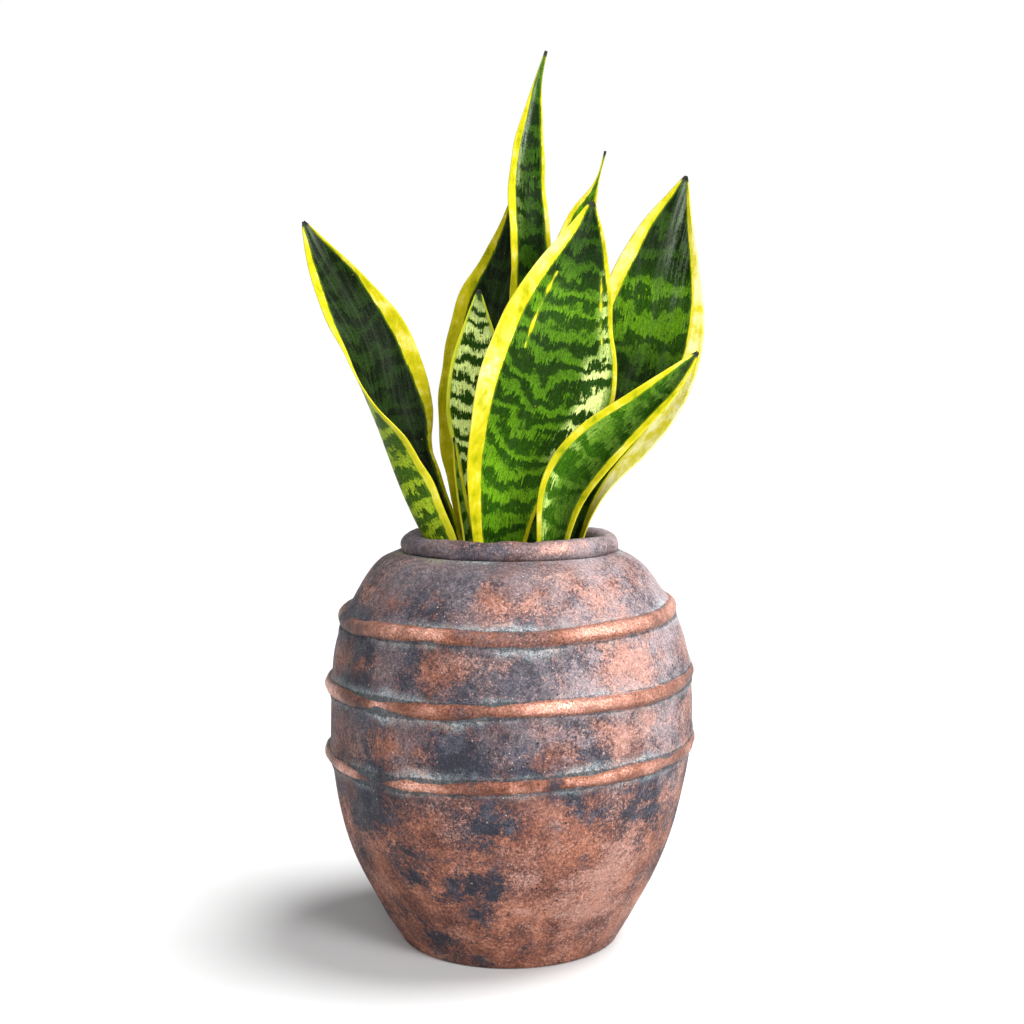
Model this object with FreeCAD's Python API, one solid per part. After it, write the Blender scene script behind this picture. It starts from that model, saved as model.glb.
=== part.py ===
"""Round earthenware planter with a copper finish, holding a lift-out plastic
pot with a variegated snake plant.

Millimetres, +Z up.  The origin is the centre of the planter's flat foot, so
the planter stands on z = 0 and its mouth faces +Z.  -Y is the front.
"""
import math
import os

import FreeCAD
import Part

V = FreeCAD.Vector

# ---------------------------------------------------------------- planter jar
HEIGHT = 275.0            # foot to the crest of the rolled rim
WALL = 9.0                # thrown clay wall
FLOOR_T = 12.0            # clay floor, no drain hole (indoor cover pot)
FOOT_R = 72.0             # flat ring and disc that touch the table
LEDGE_Z = 263.0           # top of the neck, carries the inner pot's flange
NECK_R = 57.0             # opening through the neck
# outside of the body, radius and height, foot to shoulder
OUTSIDE = [(76.2, 3.2), (89.1, 27.5), (106.0, 60.5), (117.8, 99.0), (123.2, 137.5),
           (122.5, 170.5), (119.1, 198.0), (110.1, 222.8), (98.9, 242.0),
           (84.1, 258.5), (73.0, LEDGE_Z)]

# rolled rim: a round clay roll that sits on the neck
RIM_TUBE_R = 6.8
RIM_CENTRE_R = 66.8
RIM_CENTRE_Z = HEIGHT - RIM_TUBE_R

# three clay coils pressed onto the wall: height, how far they stand proud,
# and the slight tilt of a coil laid by hand (slope along x, slope along y)
COIL_TUBE_R = 6.0
COILS = {
    "band_upper": (223.6, 4.0, 0.027, 0.039),
    "band_middle": (178.6, 3.4, 0.030, 0.003),
    "band_lower": (132.5, 2.8, 0.039, 0.000),
}

# ------------------------------------------------------------ inner plant pot
FLANGE_R = 59.2           # hangs on the neck, 0.8 mm clear of the rolled rim
FLANGE_T = 2.5
POT_TOP_R = 56.2          # 0.8 mm clear of the neck
POT_FOOT_R = 45.0
POT_FOOT_Z = 158.0        # 105 mm deep, hangs clear of the jar's floor
POT_WALL = 1.2
POT_FLOOR_T = 1.6
DRAIN_R = 4.0
DRAIN_PCD_R = 28.0
DRAIN_COUNT = 6
MIX_TOP_Z = 252.0         # potting mix, a finger below the mouth

# creeping root stock just under the surface of the mix
ROOT_R = 7.5
ROOT_Z = 231.0
ROOT_RUNS = [((-39.0, -9.0), (-19.0, -6.0)), ((-19.0, -6.0), (7.0, 6.0)),
             ((-19.0, -6.0), (-9.0, -19.0)), ((7.0, 6.0), (18.0, 30.0)),
             ((-19.0, -6.0), (-15.0, 20.0)), ((7.0, 6.0), (36.0, -4.0)),
             ((36.0, -4.0), (24.0, -27.0)), ((-19.0, -6.0), (-27.0, -21.0))]

# ---------------------------------------------------------------------- leaves
# One row per cross-section from base to tip: x, y, z of the middle of the
# inner face, half width, turn of the inner face about Z (0 faces the front,
# positive towards +X) and cup (rise of the margins over the half width).
LEAF_T_BASE = 5.2         # thickness on the midline at the base
LEAF_T_LOSS = 3.4         # thickness lost by the tip
LEAF_T_EDGE = 1.0
LEAF_SECTIONS = 12        # sections that each leaf is lofted through
LEAVES = {
    "leaf_front_broad": [
        (-8, -19, 236, 11, 4, 0.6), (-7, -25, 278, 18, 8, 0.5), (1.2, -31, 325, 31, 12, 0.32),
        (20.5, -34, 368, 45, 14, 0.24), (30, -34, 410, 38, 14, 0.22),
        (44, -30, 455, 21, 14, 0.25), (54, -26, 493, 1, 14, 0.3)],
    "leaf_front_right": [
        (24, -29, 236, 8, 0, 0.6), (28, -35, 272, 9.5, 0, 0.6), (36, -47, 310, 15, 0, 0.5),
        (55, -55, 335, 15.8, -8, 0.45), (79.5, -57, 356, 12, -15, 0.4),
        (101.5, -55, 375, 7.8, -15, 0.4), (120, -51, 395, 0.8, -15, 0.3)],
    "leaf_right_broad": [
        (37, -3, 236, 8, -24, 0.6), (43, -3, 275, 10, -24, 0.6), (54, -1, 311, 19, -24, 0.5),
        (74.5, 2, 350, 34, -24, 0.35), (90, 4, 390, 41, -22, 0.3), (98, 5, 430, 35, -20, 0.25),
        (106, 5, 474, 20, -20, 0.25), (113, 4, 498, 8.5, -20, 0.25), (118, 3, 513.5, 0.8, -20, 0.3)],
    "leaf_tall": [
        (7, 5, 236, 10.5, 24, 0.6), (9, 6, 320, 15.5, 26, 0.5), (12, 8, 400, 16.5, 26, 0.35),
        (12.4, 9, 475, 14.4, 26, 0.3), (10.6, 9, 520, 12.4, 26, 0.3), (14.8, 8, 553, 7, 24, 0.3),
        (18.8, 7, 575, 2.5, 20, 0.3), (24.5, 7, 596, 0.8, 18, 0.3)],
    "leaf_back_slim": [
        (20, 33, 236, 9, 20, 0.6), (27, 38, 320, 16.5, 22, 0.4), (36, 41, 390, 23, 24, 0.3),
        (44, 40, 440, 26.5, 24, 0.25), (48, 39, 474, 17.5, 22, 0.25), (51.6, 38, 494, 9, 18, 0.3),
        (57.7, 36, 508, 2.8, 15, 0.3), (65.9, 34, 535, 0.7, 10, 0.3)],
    "leaf_back_left": [
        (-17, 24, 236, 11, -18, 0.6), (-19, 29, 300, 19.6, -20, 0.5), (-20, 34, 350, 28, -20, 0.35),
        (-15.5, 37, 395, 28.5, -20, 0.3), (-11, 37, 433, 23.4, -20, 0.25),
        (-4, 36, 462, 13.8, -18, 0.25), (1.5, 34, 494, 3.8, -16, 0.3), (3.7, 33, 507, 0.7, -16, 0.3)],
    "leaf_left": [
        (-38.6, -8, 236, 10, 88, 0.7), (-47.2, -8, 262, 14, 88, 1.1), (-54, -8, 275, 15.5, 86, 1.2),
        (-75, -9, 322, 20, 80, 1.1), (-86, -10, 362, 29, 55, 0.7), (-93.5, -10, 400, 26.5, 38, 0.45),
        (-108, -10, 430, 19.5, 25, 0.35), (-123.5, -10, 457, 10.8, 15, 0.3),
        (-136, -10, 482, 0.8, 10, 0.3)],
    "leaf_young": [
        (-22, 1, 236, 6, 0, 0.6), (-21.5, -2, 290, 9.6, 18, 0.5), (-22.5, -5, 330, 16, 22, 0.35),
        (-25, -8, 362, 19.5, 22, 0.3), (-23, -7.5, 392, 16.5, 20, 0.3), (-21.5, -5, 415, 9, 15, 0.3),
        (-20.5, -4, 438, 0.7, 10, 0.3)],
    "leaf_sprout": [
        (-27, -22, 236, 3.5, 40, 0.6), (-28, -24, 275, 4.3, 40, 0.6), (-32, -25, 300, 3.4, 40, 0.5),
        (-34.5, -25, 320, 2.2, 40, 0.4), (-36.5, -25, 340, 0.6, 40, 0.3)],
}


def revolve(edges):
    """Turn a closed outline in the XZ plane into a solid round Z."""
    face = Part.Face(Part.Wire(edges))
    return face.revolve(V(0, 0, 0), V(0, 0, 1), 360)


def line(a, b):
    return Part.makeLine(V(a[0], 0, a[1]), V(b[0], 0, b[1]))


def arc(a, m, b):
    return Part.Arc(*[V(p[0], 0, p[1]) for p in (a, m, b)]).toShape()


def curve(points):
    c = Part.BSplineCurve()
    c.interpolate([V(r, 0, z) for r, z in points])
    return c.toShape()


def inside_profile():
    """Inner face of the jar, from the edge of the floor up to the neck."""
    pts = []
    for (r0, z0), (r1, z1) in zip(OUTSIDE[:-1], OUTSIDE[1:]):
        d = math.hypot(r1 - r0, z1 - z0)
        rm, zm = 0.5 * (r0 + r1), 0.5 * (z0 + z1)
        pts.append((rm - WALL * (z1 - z0) / d, zm + WALL * (r1 - r0) / d))
    # keep the run between the floor fillet and the underside of the shoulder
    return [p for p in pts if FLOOR_T + 6.0 < p[1] < LEDGE_Z - 18.0]


def outline(points):
    """Edges of the outside, foot disc included, ending on the neck ledge."""
    foot = (FOOT_R, 0.0)
    k = (FOOT_R + 2.9, 0.9)
    return [line((0, 0), foot), arc(foot, k, points[0]), curve(points)]


def make_jar():
    inner = inside_profile()
    lip = (NECK_R, LEDGE_Z - 8.0)
    fillet = (inner[0][0] - 6.0, FLOOR_T)
    edges = outline(OUTSIDE)
    edges.append(line(OUTSIDE[-1], (NECK_R, LEDGE_Z)))
    edges.append(line((NECK_R, LEDGE_Z), lip))
    edges.append(curve([lip] + inner[::-1] + [fillet]))
    edges.append(line(fillet, (0, FLOOR_T)))
    edges.append(line((0, FLOOR_T), (0, 0)))
    return revolve(edges)


def make_jar_filled():
    edges = outline(OUTSIDE)
    edges.append(line(OUTSIDE[-1], (0, LEDGE_Z)))
    edges.append(line((0, LEDGE_Z), (0, 0)))
    return revolve(edges)


def make_rim():
    """Round roll flattened where it sits on the neck."""
    h = math.sqrt(RIM_TUBE_R ** 2 - (RIM_CENTRE_Z - LEDGE_Z) ** 2)
    a = (RIM_CENTRE_R - h, LEDGE_Z)
    b = (RIM_CENTRE_R + h, LEDGE_Z)
    return revolve([arc(a, (RIM_CENTRE_R, HEIGHT), b), line(b, a)])


def wall_radius(z):
    """Outside radius and slope dr/dz of the wall at a height."""
    c = Part.BSplineCurve()
    c.interpolate([V(r, 0, h) for r, h in OUTSIDE])
    best = min((abs(c.value(c.LastParameter * i / 2000.0).z - z), i) for i in range(1, 2000))[1]
    p = c.value(c.LastParameter * best / 2000.0)
    q = c.value(c.LastParameter * (best + 1) / 2000.0)
    return p.x, (q.x - p.x) / (q.z - p.z)


def make_coil(z, proud, slope_x, slope_y, filled):
    """Clay coil: a tilted ring of round section, trimmed to the wall."""
    r, drdz = wall_radius(z)
    big = r + proud - COIL_TUBE_R
    ring = Part.makeTorus(big, COIL_TUBE_R)
    ring.rotate(V(0, 0, 0), V(0, 0, 1), 50)
    ring.rotate(V(0, 0, 0), V(0, 1, 0), -math.degrees(slope_x))
    ring.rotate(V(0, 0, 0), V(1, 0, 0), math.degrees(slope_y))
    ring.translate(V(drdz * slope_x * big, drdz * slope_y * big, z))
    return min(ring.cut(filled).Solids, key=lambda s: s.Volume)


def make_inner_pot():
    z0, zt = POT_FOOT_Z, LEDGE_Z
    top = zt + FLANGE_T
    pts = [(0, z0), (POT_FOOT_R, z0), (POT_TOP_R, zt), (FLANGE_R, zt), (FLANGE_R, top),
           (POT_TOP_R - POT_WALL, top), (POT_TOP_R - POT_WALL, zt),
           (POT_FOOT_R - POT_WALL, z0 + POT_FLOOR_T), (0, z0 + POT_FLOOR_T), (0, z0)]
    pot = revolve([line(a, b) for a, b in zip(pts[:-1], pts[1:])])
    for i in range(DRAIN_COUNT):
        a = 2 * math.pi * i / DRAIN_COUNT
        hole = Part.makeCylinder(DRAIN_R, 6, V(DRAIN_PCD_R * math.cos(a),
                                               DRAIN_PCD_R * math.sin(a), z0 - 2))
        pot = pot.cut(hole)
    return pot


def make_mix():
    """Potting mix filling the inner pot from its floor to the fill line."""
    z0 = POT_FOOT_Z + POT_FLOOR_T
    r0, r1 = POT_FOOT_R - POT_WALL, POT_TOP_R - POT_WALL
    rt = r0 + (r1 - r0) * (MIX_TOP_Z - z0) / (LEDGE_Z - z0)
    pts = [(0, z0), (r0, z0), (rt, MIX_TOP_Z), (0, MIX_TOP_Z), (0, z0)]
    return revolve([line(a, b) for a, b in zip(pts[:-1], pts[1:])])


def make_rootstock():
    shape = None
    for (xa, ya), (xb, yb) in ROOT_RUNS:
        a, b = V(xa, ya, ROOT_Z), V(xb, yb, ROOT_Z)
        run = Part.makeCylinder(ROOT_R, (b - a).Length, a, b - a)
        for piece in (run, Part.makeSphere(ROOT_R, a), Part.makeSphere(ROOT_R, b)):
            shape = piece if shape is None else shape.fuse(piece)
    return shape.removeSplitter()


def section(row, tangent, u):
    """Closed leaf section: cupped inner face, thicker outer face, thin margins."""
    x, y, z, w, turn, cup = row
    a = math.radians(turn)
    facing = V(math.sin(a), -math.cos(a), 0)
    across = tangent.cross(facing).normalize()
    rise = across.cross(tangent).normalize()
    t_mid = min(LEAF_T_BASE - LEAF_T_LOSS * u, 0.6 * w + 0.3)
    t_edge = min(LEAF_T_EDGE, 0.6 * t_mid)
    q = math.sqrt(1 + 4 * cup * cup)
    ex, ey = w + t_edge * 2 * cup / q, cup * w - t_edge / q
    c = V(x, y, z)

    def at(s, n):
        return c + across * s + rise * n

    inner = [at(-w, cup * w), at(0, -cup * w), at(w, cup * w)]
    outer = [at(ex, ey), at(0, -2 * t_mid - ey), at(-ex, ey)]
    edges = []
    for poles in (inner, outer):
        b = Part.BezierCurve()
        b.setPoles(poles)
        edges.append(b.toShape())
    right = Part.makeLine(inner[2], outer[0])
    left = Part.makeLine(outer[2], inner[0])
    return Part.Wire([edges[0], right, edges[1], left])


def spline(ts, vs):
    """Natural cubic curve through (ts, vs): returns value and slope at t."""
    n = len(ts)
    h = [ts[i + 1] - ts[i] for i in range(n - 1)]
    m, diag, rhs = [0.0] * n, [1.0] * n, [0.0] * n
    for i in range(1, n - 1):
        k = h[i - 1] / diag[i - 1] if i > 1 else 0.0
        diag[i] = 2 * (h[i - 1] + h[i]) - k * h[i - 1]
        step = (vs[i + 1] - vs[i]) / h[i] - (vs[i] - vs[i - 1]) / h[i - 1]
        rhs[i] = 6 * step - k * rhs[i - 1]
    for i in range(n - 2, 0, -1):
        m[i] = (rhs[i] - h[i] * m[i + 1]) / diag[i]

    def at(t):
        i = max(k for k in range(n - 1) if k == 0 or ts[k] <= t)
        p, q = ts[i + 1] - t, t - ts[i]
        c0 = vs[i] / h[i] - m[i] * h[i] / 6
        c1 = vs[i + 1] / h[i] - m[i + 1] * h[i] / 6
        value = (m[i] * p ** 3 + m[i + 1] * q ** 3) / (6 * h[i]) + c0 * p + c1 * q
        slope = (m[i + 1] * q * q - m[i] * p * p) / (2 * h[i]) - c0 + c1
        return value, slope
    return at


def make_leaf(rows):
    """Loft through even sections of the smooth curve that joins the rows."""
    ts = [0.0]
    for p, q in zip(rows[:-1], rows[1:]):
        ts.append(ts[-1] + math.dist(p[:3], q[:3]))
    curves = [spline(ts, [r[k] for r in rows]) for k in range(6)]
    wires = []
    for i in range(LEAF_SECTIONS):
        u = i / (LEAF_SECTIONS - 1.0)
        both = [c(u * ts[-1]) for c in curves]
        row = [v for v, _ in both]
        row[3] = max(row[3], 0.6)
        tangent = V(*[d for _, d in both[:3]]).normalize()
        wires.append(section(row, tangent, u))
    return Part.makeLoft(wires, True, False, False)


def build():
    nodes = {}
    filled = make_jar_filled()
    nodes["jar_body"] = make_jar()
    nodes["rim_roll"] = make_rim()
    for name, spec in COILS.items():
        nodes[name] = make_coil(*spec, filled)
    nodes["nursery_pot"] = make_inner_pot()
    root = make_rootstock()
    nodes["rhizome"] = root
    mix = make_mix().cut(root)
    for name, rows in LEAVES.items():
        leaf = make_leaf(rows).cut(root)
        leaf = max(leaf.Solids, key=lambda s: s.Volume)
        mix = mix.cut(leaf)
        nodes[name] = leaf
    nodes["potting_mix"] = max(mix.Solids, key=lambda s: s.Volume)
    return nodes


os.makedirs("parts", exist_ok=True)
for name, shape in build().items():
    shape.exportStep("parts/" + name + ".step")
    box = shape.BoundBox
    print("%-17s solids %d valid %s volume %.0f  z %.1f..%.1f" % (
        name, len(shape.Solids), shape.isValid(), shape.Volume, box.ZMin, box.ZMax))
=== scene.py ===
import math
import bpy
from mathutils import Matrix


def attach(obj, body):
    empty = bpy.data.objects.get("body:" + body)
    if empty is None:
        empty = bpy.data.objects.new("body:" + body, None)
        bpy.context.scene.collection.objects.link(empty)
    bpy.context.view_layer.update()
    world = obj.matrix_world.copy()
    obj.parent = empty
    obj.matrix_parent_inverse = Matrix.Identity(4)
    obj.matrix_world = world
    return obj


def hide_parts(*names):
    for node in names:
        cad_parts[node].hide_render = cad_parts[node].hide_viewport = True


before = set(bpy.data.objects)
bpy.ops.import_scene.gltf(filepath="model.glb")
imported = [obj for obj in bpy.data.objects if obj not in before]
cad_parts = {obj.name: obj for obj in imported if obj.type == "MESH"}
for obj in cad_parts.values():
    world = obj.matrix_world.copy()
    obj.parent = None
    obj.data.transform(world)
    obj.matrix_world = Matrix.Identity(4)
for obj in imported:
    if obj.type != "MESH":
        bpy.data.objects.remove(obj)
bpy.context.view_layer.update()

from types import SimpleNamespace

import bpy
import numpy as np
from mathutils import Vector

MM = 0.001
PLANTER, PLANTING = "planter", "planting"

# ---------------------------------------------- shapes in mm, the same as the CAD
HEIGHT, WALL, FLOOR_T, LEDGE_Z, NECK_R = 275.0, 9.0, 12.0, 263.0, 57.0
# outline of the jar's wall from foot to ledge: radius, height
OUTSIDE = [(76.2, 3.2), (89.1, 27.5), (106.0, 60.5), (117.8, 99.0), (123.2, 137.5),
           (122.5, 170.5), (119.1, 198.0), (110.1, 222.8), (98.9, 242.0),
           (84.1, 258.5), (73.0, LEDGE_Z)]
RIM_TUBE_R, RIM_CENTRE_R, RIM_CENTRE_Z = 6.8, 66.8, 268.2
COIL_R = 6.0
# coils: middle height, how proud, slope along x, slope along y, seed of the waviness
COILS = {"band_upper": (223.6, 4.0, 0.027, 0.039, 5),
         "band_middle": (178.6, 3.4, 0.030, 0.003, 6),
         "band_lower": (132.5, 2.8, 0.039, 0.000, 9)}
MIX_TOP = 252.0
# inner pot: radius at the foot and at the top, wall, height of its floor's upper side
POT_FOOT_R, POT_TOP_R, POT_WALL, POT_FLOOR_Z = 45.0, 56.2, 1.2, 159.6

# leaf rows: x, y, z, half width, turn in degrees, cup
LEAVES = {
    "leaf_front_broad": [
        (-8, -19, 236, 11, 4, 0.6), (-7, -25, 278, 18, 8, 0.5), (1.2, -31, 325, 31, 12, 0.32),
        (20.5, -34, 368, 45, 14, 0.24), (30, -34, 410, 38, 14, 0.22),
        (44, -30, 455, 21, 14, 0.25), (54, -26, 493, 1, 14, 0.3)],
    "leaf_front_right": [
        (24, -29, 236, 8, 0, 0.6), (28, -35, 272, 9.5, 0, 0.6), (36, -47, 310, 15, 0, 0.5),
        (55, -55, 335, 15.8, -8, 0.45), (79.5, -57, 356, 12, -15, 0.4),
        (101.5, -55, 375, 7.8, -15, 0.4), (120, -51, 395, 0.8, -15, 0.3)],
    "leaf_right_broad": [
        (37, -3, 236, 8, -24, 0.6), (43, -3, 275, 10, -24, 0.6), (54, -1, 311, 19, -24, 0.5),
        (74.5, 2, 350, 34, -24, 0.35), (90, 4, 390, 41, -22, 0.3), (98, 5, 430, 35, -20, 0.25),
        (106, 5, 474, 20, -20, 0.25), (113, 4, 498, 8.5, -20, 0.25),
        (118, 3, 513.5, 0.8, -20, 0.3)],
    "leaf_tall": [
        (7, 5, 236, 10.5, 24, 0.6), (9, 6, 320, 15.5, 26, 0.5), (12, 8, 400, 16.5, 26, 0.35),
        (12.4, 9, 475, 14.4, 26, 0.3), (10.6, 9, 520, 12.4, 26, 0.3), (14.8, 8, 553, 7, 24, 0.3),
        (18.8, 7, 575, 2.5, 20, 0.3), (24.5, 7, 596, 0.8, 18, 0.3)],
    "leaf_back_slim": [
        (20, 33, 236, 9, 20, 0.6), (27, 38, 320, 16.5, 22, 0.4), (36, 41, 390, 23, 24, 0.3),
        (44, 40, 440, 26.5, 24, 0.25), (48, 39, 474, 17.5, 22, 0.25), (51.6, 38, 494, 9, 18, 0.3),
        (57.7, 36, 508, 2.8, 15, 0.3), (65.9, 34, 535, 0.7, 10, 0.3)],
    "leaf_back_left": [
        (-17, 24, 236, 11, -18, 0.6), (-19, 29, 300, 19.6, -20, 0.5), (-20, 34, 350, 28, -20, 0.35),
        (-15.5, 37, 395, 28.5, -20, 0.3), (-11, 37, 433, 23.4, -20, 0.25),
        (-4, 36, 462, 13.8, -18, 0.25), (1.5, 34, 494, 3.8, -16, 0.3),
        (3.7, 33, 507, 0.7, -16, 0.3)],
    "leaf_left": [
        (-38.6, -8, 236, 10, 88, 0.7), (-47.2, -8, 262, 14, 88, 1.1), (-54, -8, 275, 15.5, 86, 1.2),
        (-75, -9, 322, 20, 80, 1.1), (-86, -10, 362, 29, 55, 0.7),
        (-93.5, -10, 400, 26.5, 38, 0.45), (-108, -10, 430, 19.5, 25, 0.35),
        (-123.5, -10, 457, 10.8, 15, 0.3), (-136, -10, 482, 0.8, 10, 0.3)],
    "leaf_young": [
        (-22, 1, 236, 6, 0, 0.6), (-21.5, -2, 290, 9.6, 18, 0.5), (-22.5, -5, 330, 16, 22, 0.35),
        (-25, -8, 362, 19.5, 22, 0.3), (-23, -7.5, 392, 16.5, 20, 0.3),
        (-21.5, -5, 415, 9, 15, 0.3), (-20.5, -4, 438, 0.7, 10, 0.3)],
    "leaf_sprout": [
        (-27, -22, 236, 3.5, 40, 0.6), (-28, -24, 275, 4.3, 40, 0.6), (-32, -25, 300, 3.4, 40, 0.5),
        (-34.5, -25, 320, 2.2, 40, 0.4), (-36.5, -25, 340, 0.6, 40, 0.3)],
}
# yellow margins: height z, width on the s = -1 side, width on the s = +1 side
MARGINS = {
    "leaf_front_broad": [(236, 5, 2), (285, 8, 2), (330, 11.5, 2), (370, 14, 2.2), (400, 13.5, 2.2),
                         (430, 11, 2.4), (455, 9, 2.6), (475, 6, 1.6), (493, 0, 0)],
    "leaf_front_right": [(236, 2, 2), (290, 3.2, 3), (330, 4.6, 3.8), (360, 4.4, 4.0),
                         (395, 0.5, 0.5)],
    "leaf_right_broad": [(236, 2, 3), (280, 3, 5), (305, 5, 9), (330, 8, 14), (355, 9, 17),
                         (390, 9, 15), (412, 9, 12), (435, 9.5, 8.5), (460, 9, 5.5), (480, 6, 4),
                         (500, 3, 2), (513, 0, 0)],
    "leaf_tall": [(236, 4, 2), (400, 5, 2.4), (470, 6, 2.6), (520, 6, 1.8), (550, 4, 1),
                  (566, 1.5, 0.6), (575, 0, 0), (596, 0, 0)],
    "leaf_back_slim": [(236, 3, 3), (400, 4, 3.4), (470, 4.6, 3.2), (500, 3, 1.6), (512, 0.8, 0.4),
                       (533, 0, 0)],
    "leaf_back_left": [(236, 4, 3), (320, 8, 5), (400, 8.5, 5), (440, 7.5, 3.5), (465, 5, 2.5),
                       (500, 0.6, 0.5), (507, 0, 0)],
    "leaf_left": [(236, 2, 1.5), (275, 3.0, 1.5), (320, 3.2, 1.5), (345, 3.2, 3), (365, 3.4, 6),
                  (388, 3.8, 8.8), (408, 4.4, 8.8), (425, 5.2, 6), (440, 5.6, 2.4), (455, 4.8, 1.4),
                  (470, 2.5, 1), (482, 0, 0)],
    "leaf_young": [(236, 2, 2), (340, 2.6, 2.4), (400, 2.4, 2.2), (425, 0.6, 0.6), (437, 0, 0)],
    "leaf_sprout": [(236, 1.2, 1.2), (300, 1.6, 1.5), (330, 0.8, 0.8), (340, 0, 0)],
}
# stains on the front of the jar, one of them a painted sheen: x, z, radius mm, weight (minus:
# slate, plus: copper brown)
STAINS = [(-26, 146, 37, -0.43), (12, 150, 25, -0.26), (-7, 106, 27, -0.43), (-80, 108, 25, -0.29),
          (-58, 66, 21, -0.32), (-16, 58, 30, -0.38), (14, 22, 22, -0.35), (-42, 18, 17, -0.23),
          (46, 244, 17, -0.29), (-30, 252, 20, -0.29), (46, 200, 17, -0.26), (44, 84, 13, -0.23),
          (-8, 196, 12, -0.2), (-36, 202, 27, 0.41), (-76, 152, 22, 0.35), (10, 84, 32, 0.32),
          # the copper-brown spot at x 70, z 204 is a painted sheen on the right of the shoulder,
          # not a stain
          (-32, 34, 22, 0.41), (30, 44, 32, 0.29), (-12, 238, 22, 0.29), (70, 204, 32, 0.32),
          (72, 152, 25, 0.26), (18, 168, 15, 0.23), (66, 70, 32, 0.23), (-104, 221, 26, -0.6),
          (30, 132, 14, -0.5), (-96, 176, 24, -0.4), (-84, 130, 22, -0.45), (96, 232, 18, -0.3)]
# leaves: band pitch mm, chevron slope, contrast, brightness, darkness, pale weight
LOOKS = {
    "leaf_front_broad": (15.5, 0.42, 1.0, 0.17, -0.01, 0.0),
    "leaf_front_right": (19.0, 0.30, 0.35, 1.0, 0.0, 0.06),
    "leaf_right_broad": (23.0, 0.12, 0.55, 0.10, 0.55, 0.0),
    "leaf_tall": (17.0, 0.10, 0.55, 0.03, 0.0, 0.0),
    "leaf_back_slim": (17.0, 0.2, 0.6, 0.5, 0.0, 0.0),
    "leaf_back_left": (20.0, 0.2, 0.35, 0.05, 0.95, 0.0),
    "leaf_left": (18.0, 0.2, 0.30, 0.02, 0.90, 0.0),
    "leaf_young": (12.0, 0.30, 1.0, 0.25, 0.0, 0.85),
    "leaf_sprout": (14.0, 0.3, 0.6, 0.4, 0.0, 0.2),
}


# --------------------------------------------------------------------- helpers
def spline(ts, vs):
    """Natural cubic through (ts, vs) for columns of vs: values and slopes at t."""
    ts, vs = np.asarray(ts, float), np.asarray(vs, float)
    n = len(ts)
    h = np.diff(ts)
    a = np.eye(n)
    rhs = np.zeros_like(vs)
    for i in range(1, n - 1):
        a[i, i - 1:i + 2] = h[i - 1], 2 * (h[i - 1] + h[i]), h[i]
        rhs[i] = 6 * ((vs[i + 1] - vs[i]) / h[i] - (vs[i] - vs[i - 1]) / h[i - 1])
    m = np.linalg.solve(a, rhs)

    def at(t):
        t = np.asarray(t, float)
        i = np.clip(np.searchsorted(ts, t, side="right") - 1, 0, n - 2)
        p, q, k = (ts[i + 1] - t)[:, None], (t - ts[i])[:, None], h[i][:, None]
        c0 = vs[i] / k - m[i] * k / 6
        c1 = vs[i + 1] / k - m[i + 1] * k / 6
        val = (m[i] * p ** 3 + m[i + 1] * q ** 3) / (6 * k) + c0 * p + c1 * q
        return val, (m[i + 1] * q * q - m[i] * p * p) / (2 * k) - c0 + c1
    return at


def chord(points):
    """Running length along a row of points."""
    p = np.asarray(points, float)
    return np.r_[0, np.cumsum(np.linalg.norm(np.diff(p, axis=0), axis=1))]


def waves(theta, z, seed, terms, m_lo, m_hi, k_hi):
    """Smooth random field on a cylinder, about unit size, closed round theta."""
    rng = np.random.default_rng(seed)
    out = np.zeros(np.broadcast(theta, z).shape)
    for _ in range(terms):
        m = rng.integers(m_lo, m_hi + 1)
        out += np.cos(m * theta + rng.uniform(-k_hi, k_hi) * z + rng.uniform(0, 2 * math.pi))
    return out / math.sqrt(0.5 * terms)


def grid_faces(rows, cols, close_rows=False):
    """Quads of a grid whose columns close on themselves, and its rows too if asked."""
    i, j = np.meshgrid(np.arange(rows if close_rows else rows - 1), np.arange(cols), indexing="ij")
    i1, j1 = (i + 1) % rows, (j + 1) % cols
    return np.stack([i * cols + j, i * cols + j1, i1 * cols + j1, i1 * cols + j], -1).reshape(-1, 4)


def add_mesh(name, verts_mm, faces, attrs=None, smooth=True):
    """Object from points in mm, with its shader attributes."""
    me = bpy.data.meshes.new(name)
    me.from_pydata((np.asarray(verts_mm) * MM).tolist(), [], [list(map(int, f)) for f in faces])
    me.update()
    for key, values in (attrs or {}).items():
        values = np.asarray(values, np.float32)
        if values.ndim == 1:
            attr = me.attributes.new(key, "FLOAT", "POINT")
            attr.data.foreach_set("value", values)
        else:
            attr = me.attributes.new(key, "FLOAT_VECTOR", "POINT")
            attr.data.foreach_set("vector", values.ravel())
    if smooth:
        me.shade_smooth()
    o = bpy.data.objects.new(name, me)
    bpy.context.scene.collection.objects.link(o)
    return o


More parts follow.
